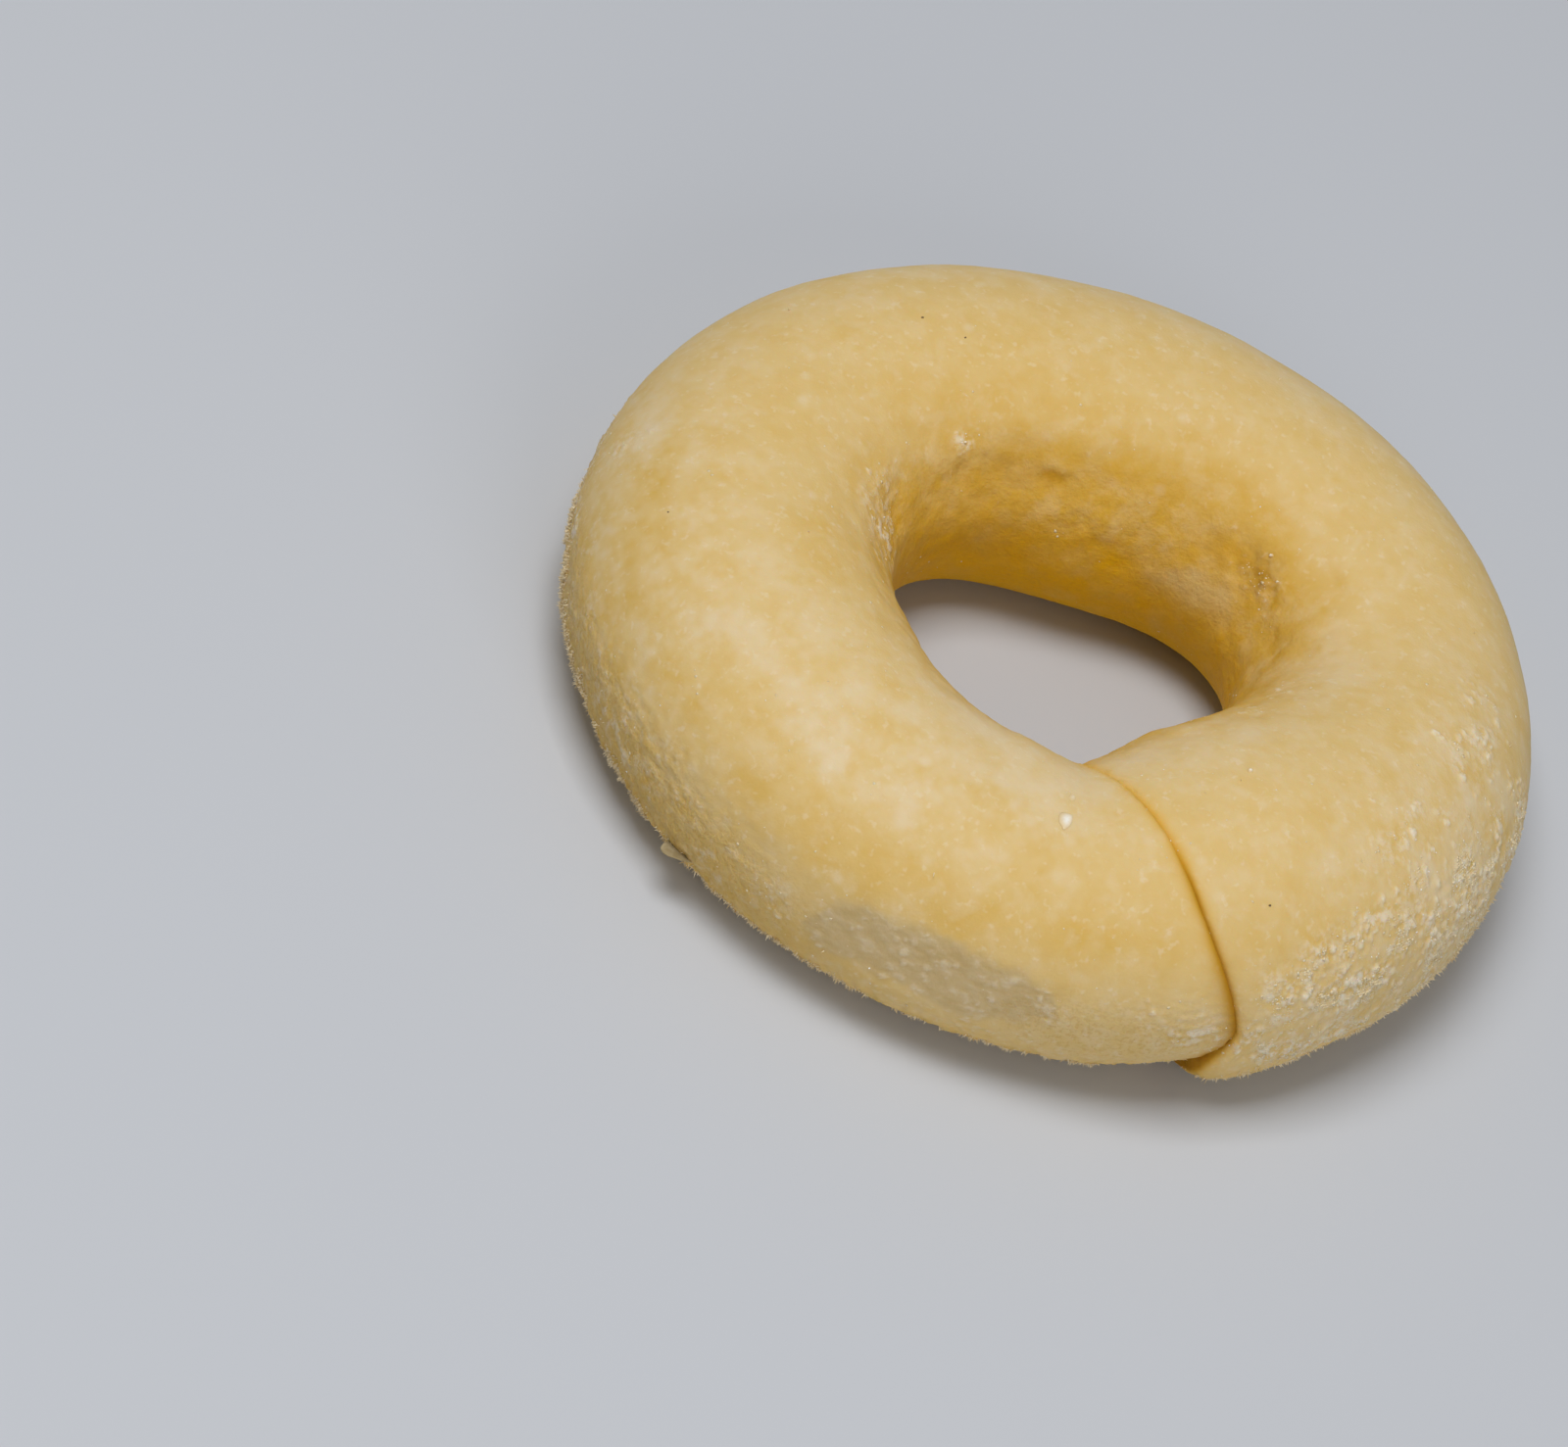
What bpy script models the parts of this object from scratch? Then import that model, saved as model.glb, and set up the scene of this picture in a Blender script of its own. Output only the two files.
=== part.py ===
"""Raw dough ring: one thick rope of dough bent round, its two ends lapped and pressed together.

The ring lies flat, as it would on a tray. +Z is up, the underside is at z = 0, and the origin is
below the middle of the ring's bounding box. Lengths are in metres and angles in degrees.

Two angles place every point of the skin. `around` runs round the ring, from +X towards +Y.
`across` runs round the rope: 0 is its outer side, 90 its top, 180 the wall of the hole and 270
its underside.
"""

import math

import bpy
from mathutils import Vector

# --- the rope and the ring ---------------------------------------------------------------------
RING_RADIUS = 0.0344            # middle of the ring to the middle of the rope
ROPE_HALF_WIDTH = 0.0173
CROWN_RISE = 0.0154             # from the rope's widest level up to its top
WIDEST_LEVEL = 0.0119           # from the table up to the rope's widest level
UNDERSIDE_SQUARENESS = 2.6      # 2 is an ellipse, more is a squarer, more slumped underside
SETTLING = 0.0004               # how much of the underside is pressed flat on the table

# Unevenness of a ring rolled by hand, each wave as (crests, height, angle of one crest).
RADIUS_WAVES = ((2, 0.00140, 8.0), (3, 0.00076, 38.0), (4, 0.00018, -41.0))
WIDTH_WAVES = ((1, 0.00018, 112.0), (2, 0.00062, -50.0), (3, 0.00060, -34.0), (4, 0.00016, -43.0))

# --- the lap of the two rope ends --------------------------------------------------------------
LAP_OUTER_ANGLE = 306.0         # the seam at the rope's outer side
LAP_SLANT = 21.0                # how far the seam leans back on its way to the hole
LAP_HOLE_LEVEL = 133.0          # where on the rope the seam dips into the hole
LAP_BEND = 1.25                 # more than 1 bows the seam
LAP_TUCK = 1.8                  # how far the upper end's nose curls back underneath
LAP_TUCK_LEVEL = 11.0
PINCH_ANGLE = 283.7             # the rope is pinched thinner here, where its ends meet
PINCH_SPREAD = 14.0
PINCH_DEPTH = 0.0026
PINCH_SHARPNESS = 1.3

SEAM_DEPTH = 0.0012
SEAM_ROLL = 0.0011              # round edge of the upper end
SEAM_FILLET = 0.0010            # soft run-up of the lower end
NOSE_SWELL = 0.0004             # the upper end is a little plumper behind its edge
NOSE_LENGTH = 0.0060
LAP_FOOT_LEVEL = -34.0          # low on the outer side the two ends part: the upper end is
LAP_FOOT_HEIGHT = 30.0          # drawn in and the lower end shows beneath it as a lip
NOSE_DRAWN_IN = 0.0013
NOSE_TAPER = 0.0080
LIP_PROUD = 0.0011
LIP_MIDDLE = 0.0045
LIP_LENGTH = 0.0075

# --- marks in the skin -------------------------------------------------------------------------
# The pressed patch low on the outer side, where the ring lay against something as it set.
PATCH_ANGLE = 268.5
PATCH_HALF_LENGTH = 20.0
PATCH_LEVEL = 10.0
PATCH_DEPTH = 0.0007

# Hollows and creases: (around, across, half length, half height, turn, depth); a negative depth
# is a swelling.
HOLLOWS = (
    (144.0, 146.0, 2.6, 11.0, 8.0, 0.0008),
    (113.0, 145.0, 9.0, 5.5, -6.0, 0.0007),
    (128.0, 139.0, 9.0, 5.0, 10.0, -0.0004),
    (96.0, 136.0, 12.0, 7.0, 0.0, -0.0003),
    (49.0, 144.0, 8.0, 3.5, 6.0, 0.0007),
    (39.0, 148.0, 10.0, 9.0, 0.0, 0.0008),
    (172.0, 150.0, 8.0, 9.0, 0.0, 0.0004),
    (236.0, 8.0, 14.0, 13.0, 0.0, 0.0004),
)

# --- fineness of the mesh ----------------------------------------------------------------------
RING_SEGMENTS = 120
ROPE_SEGMENTS = 40
SEAM_CROWDING = 1.6             # more than 1 draws the segments together at the seam
SHEAR_REACH = 55.0              # the segments follow the seam's slant this far from it

DOUGH_COLOUR = (0.66, 0.47, 0.235, 1.0)
DOUGH_ROUGHNESS = 0.62


def wrapped(angle):
    """The same angle between -180 and 180 degrees."""
    return (angle + 180.0) % 360.0 - 180.0


def bell(distance, sharpness=2.0):
    """A smooth hump that is 1 at distance 0 and fades out beyond 1."""
    return math.exp(-abs(distance) ** sharpness)


def waves(table, around):
    """Height of a set of waves at an angle round the ring."""
    return sum(size * math.cos(math.radians(count * (around - crest))) for count, size, crest in table)


def seam_angle(across):
    """Angle round the ring at which the seam crosses a level of the rope."""
    level = (across + 90.0) % 360.0 - 90.0
    if level < 0.0:
        return LAP_OUTER_ANGLE - LAP_TUCK * (1.0 - bell(level / LAP_TUCK_LEVEL))
    if level < LAP_HOLE_LEVEL:
        return LAP_OUTER_ANGLE - LAP_SLANT * (level / LAP_HOLE_LEVEL) ** LAP_BEND
    inner_end = LAP_OUTER_ANGLE - LAP_SLANT
    underside = LAP_OUTER_ANGLE - LAP_TUCK * (1.0 - bell(90.0 / LAP_TUCK_LEVEL))
    return inner_end + (underside - inner_end) * (level - LAP_HOLE_LEVEL) / (270.0 - LAP_HOLE_LEVEL)


def rope_section(around, across):
    """Ring radius, half width and the section's point, before any relief."""
    half_width = ROPE_HALF_WIDTH + waves(WIDTH_WAVES, around)
    swell = half_width / ROPE_HALF_WIDTH
    level = math.radians(across)
    pinch = PINCH_DEPTH * bell(wrapped(around - PINCH_ANGLE) / PINCH_SPREAD, PINCH_SHARPNESS)
    pinch *= 0.5 - 0.5 * math.cos(level)
    wide = half_width - pinch
    widest = WIDEST_LEVEL * swell
    if math.sin(level) >= 0.0:
        out = wide * math.cos(level)
        up = (CROWN_RISE * swell - pinch) * math.sin(level)
    else:
        power = 2.0 / UNDERSIDE_SQUARENESS
        out = wide * math.copysign(abs(math.cos(level)) ** power, math.cos(level))
        up = -(widest + SETTLING) * abs(math.sin(level)) ** power
    return RING_RADIUS + waves(RADIUS_WAVES, around), widest, out, up


def lap_relief(around, across, distance_from_axis):
    """Height of the skin near the seam: a groove between the rolled edge and the lower end."""
    gap = math.radians(wrapped(around - seam_angle(across))) * distance_from_axis
    foot = bell((wrapped(across) - LAP_FOOT_LEVEL) / LAP_FOOT_HEIGHT)
    if gap < 0.0:
        inside = max(0.0, 1.0 + gap / SEAM_ROLL)
        groove = 1.0 - math.sqrt(max(0.0, 1.0 - inside ** 2))
        swell = NOSE_SWELL * bell((gap + NOSE_LENGTH) / NOSE_LENGTH) * (1.0 - foot)
        return swell - SEAM_DEPTH * groove - NOSE_DRAWN_IN * foot * bell(gap / NOSE_TAPER)
    lip = LIP_PROUD * foot * bell((gap - LIP_MIDDLE) / LIP_LENGTH)
    return lip - SEAM_DEPTH * math.exp(-gap / SEAM_FILLET)


def hollow_relief(around, across):
    """Height of the skin from its hollows and creases."""
    height = 0.0
    for at_around, at_across, half_length, half_height, turn, depth in HOLLOWS:
        along = wrapped(around - at_around)
        over = wrapped(across - at_across)
        lean = math.radians(turn)
        first = (along * math.cos(lean) + over * math.sin(lean)) / half_length
        second = (over * math.cos(lean) - along * math.sin(lean)) / half_height
        height -= depth * bell(math.hypot(first, second))
    return height


def press_patch(out, up, around, half_width):
    """Press the section's outer side flat where the patch is."""
    along = wrapped(around - PATCH_ANGLE) / PATCH_HALF_LENGTH
    depth = PATCH_DEPTH * (1.0 - along ** 2)
    if depth <= 0.0:
        return out, up
    facing = math.radians(PATCH_LEVEL)
    reach = out * math.cos(facing) + up * math.sin(facing)
    excess = max(0.0, reach - (half_width - depth))
    return out - excess * math.cos(facing), up - excess * math.sin(facing)


def skin_point(around, across):
    """A point of the dough's skin, with its relief."""
    radius, widest, out, up = rope_section(around, across)
    relief = lap_relief(around, across, radius + out) + hollow_relief(around, across)
    reach = math.hypot(out, up)
    out *= 1.0 + relief / reach
    up *= 1.0 + relief / reach
    out, up = press_patch(out, up, around, ROPE_HALF_WIDTH + waves(WIDTH_WAVES, around))
    turn = math.radians(around)
    from_axis = radius + out
    return Vector((from_axis * math.cos(turn), from_axis * math.sin(turn), max(0.0, widest + up)))


def crowded(share):
    """Angle from the seam for a share of the way round, from -1 to 1."""
    return 180.0 * math.copysign(abs(share) ** SEAM_CROWDING, share)


def shape_ring(mesh):
    """Move a plain torus's points onto the dough's skin, then centre them."""
    seam_middle = seam_angle(90.0)
    for vertex in mesh.vertices:
        x, y, z = vertex.co
        across = math.degrees(math.atan2(z, math.hypot(x, y) - RING_RADIUS))
        from_seam = crowded(math.degrees(math.atan2(y, x)) / 180.0)
        shear = (seam_angle(across) - seam_middle) * bell(from_seam / SHEAR_REACH)
        vertex.co = skin_point(seam_middle + from_seam + shear, across)
    middle_x = 0.5 * (min(v.co.x for v in mesh.vertices) + max(v.co.x for v in mesh.vertices))
    middle_y = 0.5 * (min(v.co.y for v in mesh.vertices) + max(v.co.y for v in mesh.vertices))
    for vertex in mesh.vertices:
        vertex.co -= Vector((middle_x, middle_y, 0.0))
    mesh.update()


def dough_material():
    """Pale yellow raw dough, dull with frost."""
    material = bpy.data.materials.new("raw_dough")
    material.use_nodes = True
    shader = material.node_tree.nodes["Principled BSDF"]
    shader.inputs["Base Color"].default_value = DOUGH_COLOUR
    shader.inputs["Roughness"].default_value = DOUGH_ROUGHNESS
    shader.inputs["Metallic"].default_value = 0.0
    return material


def make_ring(collection):
    """The whole ring as one solid."""
    bpy.ops.mesh.primitive_torus_add(
        major_radius=RING_RADIUS, minor_radius=ROPE_HALF_WIDTH,
        major_segments=RING_SEGMENTS, minor_segments=ROPE_SEGMENTS)
    ring = bpy.context.object
    ring.name = "dough_ring"
    ring.data.name = "dough_ring"
    for owner in list(ring.users_collection):
        owner.objects.unlink(ring)
    collection.objects.link(ring)
    shape_ring(ring.data)
    ring.data.shade_smooth()
    ring.data.materials.append(dough_material())
    return ring


def main():
    """Clear the scene and model the ring."""
    for old in list(bpy.data.objects):
        bpy.data.objects.remove(old, do_unlink=True)
    parts = bpy.data.collections.new("dough_ring_parts")
    bpy.context.scene.collection.children.link(parts)
    make_ring(parts)


main()
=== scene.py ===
"""Looks of the raw dough ring: its skin, the lap of its two ends, the frost on it and the studio.

Lengths are in metres and angles in degrees, except where a name says otherwise. Two angles place
every point of the skin. `around` runs round the ring, from +X towards +Y. `across` runs round the
rope: 0 is its outer side, 90 its top, 180 the wall of the hole and 270 its underside. `level` is
the same angle from -90 to 270.
"""

from __future__ import annotations

import itertools
import logging
import math
from dataclasses import dataclass, field
from enum import Enum

import bmesh
import bpy
import numpy as np
from mathutils import Matrix, Vector


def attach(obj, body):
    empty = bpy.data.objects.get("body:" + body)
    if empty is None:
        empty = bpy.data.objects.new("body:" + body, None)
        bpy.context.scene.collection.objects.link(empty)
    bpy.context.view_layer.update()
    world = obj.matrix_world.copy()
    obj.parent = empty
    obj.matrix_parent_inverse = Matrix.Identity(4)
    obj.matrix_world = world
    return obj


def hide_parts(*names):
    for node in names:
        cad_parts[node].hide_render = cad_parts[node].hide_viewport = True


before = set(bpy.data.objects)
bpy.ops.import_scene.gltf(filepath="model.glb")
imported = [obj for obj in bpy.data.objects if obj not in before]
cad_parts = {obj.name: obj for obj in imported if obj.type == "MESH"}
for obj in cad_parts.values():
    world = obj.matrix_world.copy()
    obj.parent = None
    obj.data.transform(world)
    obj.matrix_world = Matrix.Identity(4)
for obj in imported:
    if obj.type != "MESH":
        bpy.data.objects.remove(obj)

LOG = logging.getLogger("dough_ring")
NODE = "dough_ring"
BODY = "root"
PHOTO_WIDTH = 1600
PHOTO_HEIGHT = 1477

Array = np.ndarray
Piece = bpy.types.Object
Socket = bpy.types.NodeSocket
Colour = tuple[float, float, float, float]


def wrapped(angle: Array | float) -> Array | float:
    """Bring angles into -180 to 180 degrees.

    Args:
        angle: One angle or many.

    Returns:
        The same angles in that range.
    """
    return (angle + 180.0) % 360.0 - 180.0


def bell(distance: Array | float, sharpness: float = 2.0) -> Array:
    """A hump that is 1 at distance 0 and fades out beyond 1.

    Args:
        distance: How far off, as a share of the hump's reach.
        sharpness: 2 is a soft hump, and 6 has a flat top and a crisp edge.

    Returns:
        The hump's height at each distance.
    """
    return np.exp(-np.abs(distance) ** sharpness)


def ramp(value: Array, low: float, high: float) -> Array:
    """A smooth step.

    Args:
        value: Where to read the step.
        low: Below this it is 0.
        high: Above this it is 1.

    Returns:
        Numbers between 0 and 1.
    """
    share = np.clip((value - low) / (high - low), 0.0, 1.0)
    return share * share * (3.0 - 2.0 * share)


def scrambled(corner: Array, seed: int) -> Array:
    """A random number from 0 to 1 for each corner of a lattice.

    Args:
        corner: Whole numbers, with their x, y and z in the last axis.
        seed: Another seed gives other numbers.

    Returns:
        One number for each corner, always the same for the same corner and seed.
    """
    key = corner[..., 0] * 374761393 + corner[..., 1] * 668265263
    key = (key + corner[..., 2] * 1440662683 + seed * 974634777) & 0xFFFFFFFF
    key = ((key ^ (key >> 13)) * 1274126177) & 0xFFFFFFFF
    key ^= key >> 16
    return key / 0xFFFFFFFF


def lattice_noise(points: Array, seed: int) -> Array:
    """Smooth random heights between -1 and 1 that change over a distance of about 1.

    Args:
        points: Places to read, with their x, y and z in the last axis.
        seed: Another seed gives another pattern.

    Returns:
        One height for each place.
    """
    cell = np.floor(points)
    inside = points - cell
    inside = inside ** 3 * (inside * (inside * 6.0 - 15.0) + 10.0)
    total = np.zeros(points.shape[:-1])
    for step in itertools.product((0, 1), repeat=3):
        weight = np.prod(np.where(step, inside, 1.0 - inside), axis=-1)
        corner = cell.astype(np.int64) + np.array(step)
        total += weight * (2.0 * scrambled(corner, seed) - 1.0)
    return total


def crumb_field(points: Array, size: float, share: Array, seed: int) -> Array:
    """Low crumbs of uneven size and outline, up to one in each cell of a lattice.

    Args:
        points: Places to read.
        size: Width of the lattice's cells; a crumb is a little narrower.
        share: How many of the cells hold a crumb, from 0 to 1, at each place.
        seed: Another seed gives another pattern.

    Returns:
        One height for each place, 0 between the crumbs and up to 1 on them.
    """
    height = np.zeros(points.shape[:-1])
    busy = share > 0.01
    place = points[busy] / size
    bent = np.stack([lattice_noise(place * 1.7, seed + number) for number in range(3)], axis=-1)
    place = place + 0.30 * bent
    cell = np.floor(place).astype(np.int64)
    best = np.zeros(len(place))
    for step in itertools.product((-1, 0, 1), repeat=3):
        corner = cell + np.array(step)
        shift = np.stack([scrambled(corner, seed + 10 + number) for number in range(3)], axis=-1)
        radius = 0.32 + 0.38 * scrambled(corner, seed + 20)
        off = np.linalg.norm(place - corner - shift, axis=-1) / radius
        rise = (0.45 + 0.55 * scrambled(corner, seed + 21)) * np.minimum(1.0, 1.5 - 1.5 * off ** 2)
        best = np.where(scrambled(corner, seed + 22) < share[busy], np.maximum(best, rise), best)
    height[busy] = best
    return height


@dataclass(frozen=True)
class Texture:
    """Layered noise; each layer is half as wide and half as high as the last."""

    height: float
    size: float
    layers: int
    seed: int

    def read(self, points: Array) -> Array:
        """Read the noise.

        Args:
            points: Places to read.

        Returns:
            One value for each place, between about -height and height.
        """
        total = np.zeros(points.shape[:-1])
        for layer in range(self.layers):
            total += 0.5 ** layer * lattice_noise(points / (self.size * 0.5 ** layer), self.seed + layer)
        return self.height * total / (2.0 - 2.0 * 0.5 ** self.layers)


@dataclass(frozen=True)
class Wave:
    """One wave of unevenness round the ring."""

    crests: int
    height: float
    crest_angle: float

    def read(self, around: Array) -> Array:
        """Height of the wave at each angle round the ring."""
        return self.height * np.cos(np.radians(self.crests * (around - self.crest_angle)))


@dataclass(frozen=True)
class Mark:
    """A round or long spot on the skin; its depth is metres or a share, as its table says."""

    around: float
    across: float
    half_length: float
    half_height: float
    depth: float
    turn: float = 0.0
    sharpness: float = 2.0

    def offsets(self, around: Array, across: Array) -> tuple[Array, Array]:
        """Measure from the mark's middle along its two turned axes.

        Args:
            around: Angles round the ring.
            across: Angles round the rope.

        Returns:
            Two distances, as shares of the mark's size.
        """
        along = wrapped(around - self.around)
        over = wrapped(across - self.across)
        lean = math.radians(self.turn)
        return ((along * math.cos(lean) + over * math.sin(lean)) / self.half_length,
                (over * math.cos(lean) - along * math.sin(lean)) / self.half_height)

    def read(self, around: Array, across: Array) -> Array:
        """The mark's full depth in its middle, fading to 0 outside it."""
        return self.depth * bell(np.hypot(*self.offsets(around, across)), self.sharpness)


@dataclass(frozen=True)
class Press(Mark):
    """A dent pressed in at a slant: steep at its upper left rim, running out at its lower right."""

    rim: float = 0.85

    def read(self, around: Array, across: Array) -> Array:
        """Find how deep the dent is.

        Args:
            around: Angles round the ring.
            across: Angles round the rope.

        Returns:
            Depths.
        """
        first, second = self.offsets(2.0 * self.around - around, across)
        inside = ramp(1.0 - np.hypot(first, second), 0.0, self.rim)
        return self.depth * inside * np.clip(0.5 - 0.62 * (first + second) / math.sqrt(2.0), 0.0, 1.0)


@dataclass(frozen=True)
class Fold:
    """A fold between two places, shelving above its line and bulging below it."""

    start: tuple[float, float]
    end: tuple[float, float]
    depth: float
    above: float
    below: float
    bulge: float

    def read(self, around: Array, across: Array) -> Array:
        """Find how deep the fold is.

        Args:
            around: Angles round the ring.
            across: Angles round the rope.

        Returns:
            Depths, negative where it bulges.
        """
        step = np.array([wrapped(self.end[0] - self.start[0]), self.end[1] - self.start[1]])
        length = float(np.hypot(*step))
        along = wrapped(around - self.start[0])
        over = wrapped(across - self.start[1])
        share = (along * step[0] + over * step[1]) / length ** 2
        down = (over * step[0] - along * step[1]) / length * math.copysign(1.0, step[0])
        groove = bell(down / np.where(down < 0.0, self.above, self.below))
        swelling = bell((down - 2.5 * self.below) / (2.0 * self.below))
        return (self.depth * groove - self.bulge * swelling) * bell(2.0 * share - 1.0, 5.0)


# Hollows in the skin, with depths in metres; a negative depth is a swelling.
HOLLOWS = (
    Mark(104, 160, 38, 6, -0.00022, 12.7, 1.5), Mark(151, 153, 8, 9, 0.0004),
    Mark(126, 148, 19, 9.5, 0.0002, 4), Mark(143.5, 147, 8, 1.8, 0.00035, 106, 1.6),
    Mark(96, 136, 12, 7, -0.00016), Mark(49, 148, 17, 9.5, 0.0004, -14), Mark(27, 150, 9, 9, 0.0004),
    Mark(172, 150, 8, 9, 0.0004), Mark(236, 8, 14, 13, 0.0004))
PRESSES = (
    Press(131, 148, 15.5, 12.5, 0.00042, 6), Press(113, 149.5, 10, 7.5, 0.0005, -6))
FOLDS = (
    Fold((120, 149), (104, 148), 0.0001, 5, 3.6, 0.00003),
    Fold((59, 149), (44, 137.5), 0.00016, 4, 4, 0.00002))
# Where frost has settled. From here on a mark's depth is a share.
FROST = (
    Mark(330, 12, 25, 28, 0.9, 30, 3), Mark(338, 40, 9, 26, 0.9, 10, 2.5),
    Mark(350, 22, 13, 26, 0.8, 20, 3), Mark(317, -4, 15, 17, 0.85, 20, 3),
    Mark(358, 62, 14, 18, 0.35, 0, 2.5), Mark(190, 4, 24, 11, 0.6, -10, 4), Mark(183, 32, 4, 14, 0.55, 5),
    Mark(222, 3, 20, 21, 0.52, -12, 3), Mark(203, 12, 14, 10, 0.52, -20, 2.5),
    Mark(240, -4, 16, 20, 0.42, 0, 3), Mark(275, -14, 24, 8, 0.3, 0, 3), Mark(293, 10, 9, 10, 0.38, 0, 2.5),
    Mark(299.5, 4.5, 6.5, 8, 0.85, 0, 2.5), Mark(285, 4, 8, 7, 0.3, 0, 2.5), Mark(307.5, 13.5, 5, 8, 0.85),
    Mark(55, -6, 40, 14, 0.45, 0, 4), Mark(125, -8, 45, 13, 0.45, 0, 4), Mark(281, 74, 9, 12, 0.22),
    Mark(40, 145, 13, 11, 0.44), Mark(179, 146, 15, 20, 0.66, 0, 2.5), Mark(141.5, 135.5, 3, 6, 0.95, 12),
    Mark(345, 132, 22, 9, 0.3), Mark(100, 150, 50, 16, 0.14))
# Where the skin is crumbly, low on its outer side and at the hole's rim.
CRUMBLY = (
    Mark(192, -24, 28, 32, 1.2, -8, 4), Mark(225, -34, 25, 26, 1.4, 0, 4), Mark(225, 4, 25, 22, 0.6, 0, 4),
    Mark(275, -36, 36, 26, 1.1, 0, 4), Mark(55, -8, 40, 15, 0.8, 0, 4), Mark(125, -10, 45, 14, 0.8, 0, 4),
    Mark(322, -8, 22, 20, 0.9, 20, 4), Mark(331, 18, 25, 24, 0.6, 20, 4), Mark(352, 14, 14, 26, 0.6, 30, 3),
    Mark(42, 145, 14, 12, 0.9, 0, 3), Mark(180, 148, 12, 16, 0.7, 0, 3), Mark(110, 152, 50, 14, 0.3, 0, 3))
# Where the frost is soft fuzz without clumps.
FUZZY = (
    Mark(212, 0, 42, 60, 0.9, 0, 5), Mark(292, 6, 16, 26, 0.85, 0, 5), Mark(181, 146, 16, 22, 0.7, 0, 3))
# Where the film on the skin is the most mottled.
MOTTLED = (
    Mark(208, 36, 34, 34, 1, 0, 3), Mark(252, 70, 34, 30, 0.7, 0, 3), Mark(345, 50, 24, 30, 0.7, 0, 3),
    Mark(80, 145, 80, 24, 0.45, 0, 4))
# Where fine ice needles stand up from the skin.
NEEDLES = (
    Mark(189, -8, 9, 8, 1, 0, 3), Mark(203, -18, 11, 8, 1, 0, 3), Mark(222, -28, 14, 7.5, 0.95, 0, 3),
    Mark(248, -34, 17, 6, 0.75, 0, 3), Mark(285, -36, 24, 6, 0.55, 0, 3), Mark(325, -25, 17, 7, 0.5, 0, 3),
    Mark(346, -12, 13, 9, 0.4, 0, 3))
# Where the pale film on the skin is thicker; a negative depth is where it is thinner. The thin marks on
# the outer side round 200 to 235 also stand for painted shade, and the thick marks low on the hole's
# wall round 45 to 58 for painted light.
FILM_AND_PAINTED_LIGHT = (
    Mark(262, 110, 22, 18, 0.55), Mark(276, 92, 9, 16, 0.45), Mark(312, 122, 30, 15, 0.5),
    Mark(5, 122, 16, 14, 0.45), Mark(90, 62, 55, 14, 0.35), Mark(182, 42, 5, 12, 0.45),
    Mark(352, 58, 14, 22, 0.3), Mark(110, 124, 70, 15, -0.45), Mark(204, 110, 18, 14, -0.45),
    Mark(282, 38, 22, 14, -0.64), Mark(248, 30, 26, 13, -0.52), Mark(200, 14, 24, 18, -0.5, 0, 3),
    Mark(197, 46, 10, 9, -0.45), Mark(232, -14, 30, 20, -0.75, 0, 3), Mark(314, 40, 9, 14, -0.35),
    Mark(120, 95, 60, 26, -0.25), Mark(322, 6, 24, 22, 0.12, 0, 3), Mark(338, 42, 12, 22, 0.2),
    Mark(235, 74, 36, 26, 0.35, 0, 3), Mark(93, 139, 30, 10, -0.6), Mark(350, 16, 14, 24, 0.12),
    Mark(46, 136, 22, 14, -0.7), Mark(45, 164, 9, 8, 0.85), Mark(58, 171, 14, 9, 1),
    Mark(7, 150, 13, 10, 0.45))
# Painted shade: duller, browner skin in hollows of the hole's wall and low on the outer side.
PAINTED_SHADE = (
    Mark(224, -9, 28, 18, 0.42, 0, 3), Mark(125, 147.5, 24, 6.5, 0.68, -4, 2.5),
    Mark(54.5, 150, 6, 3.5, 0.92, -16, 2.5), Mark(43.5, 143, 9, 9, 0.78, -20, 2.5),
    Mark(113, 146.5, 7.5, 4.5, 0.7, 0, 2.5), Mark(144, 170, 32, 17, 0.42, 0, 3),
    Mark(164, 158, 10, 7, 0.45, 0, 2.5), Mark(100, 138, 32, 8, 0.28, 0, 2.5),
    Mark(49, 145, 17, 8, 0.4, -16, 2.5))
# Painted warm shade: deep yellow in hollows of the hole's wall.
WARM_SHADE = (
    Mark(114, 148, 8.5, 4.5, 0.45, -6), Mark(134, 149, 9, 4, 0.28), Mark(143.2, 148, 2.4, 6, 0.45, 10),
    Mark(52, 146, 9, 6, 0.55, 36), Mark(41, 145, 9, 9, 0.36), Mark(168, 152, 14, 11, 0.34),
    Mark(95, 140, 24, 6, 0.24))
# Small places where the dough shows deeper in colour.
STAINS = (
    Mark(30.6, 117.3, 2.8, 2.8, 0.6), Mark(24.1, 126.1, 1.4, 1.7, 0.7), Mark(12.3, 128.9, 1.5, 1.2, 0.6),
    Mark(205, 36, 3, 3, 0.4))
# Where the painted warm shade gives way, low on the far side of the hole's wall.
PALE_FOOT = Mark(57, 170, 14, 9, 0.75)


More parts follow.
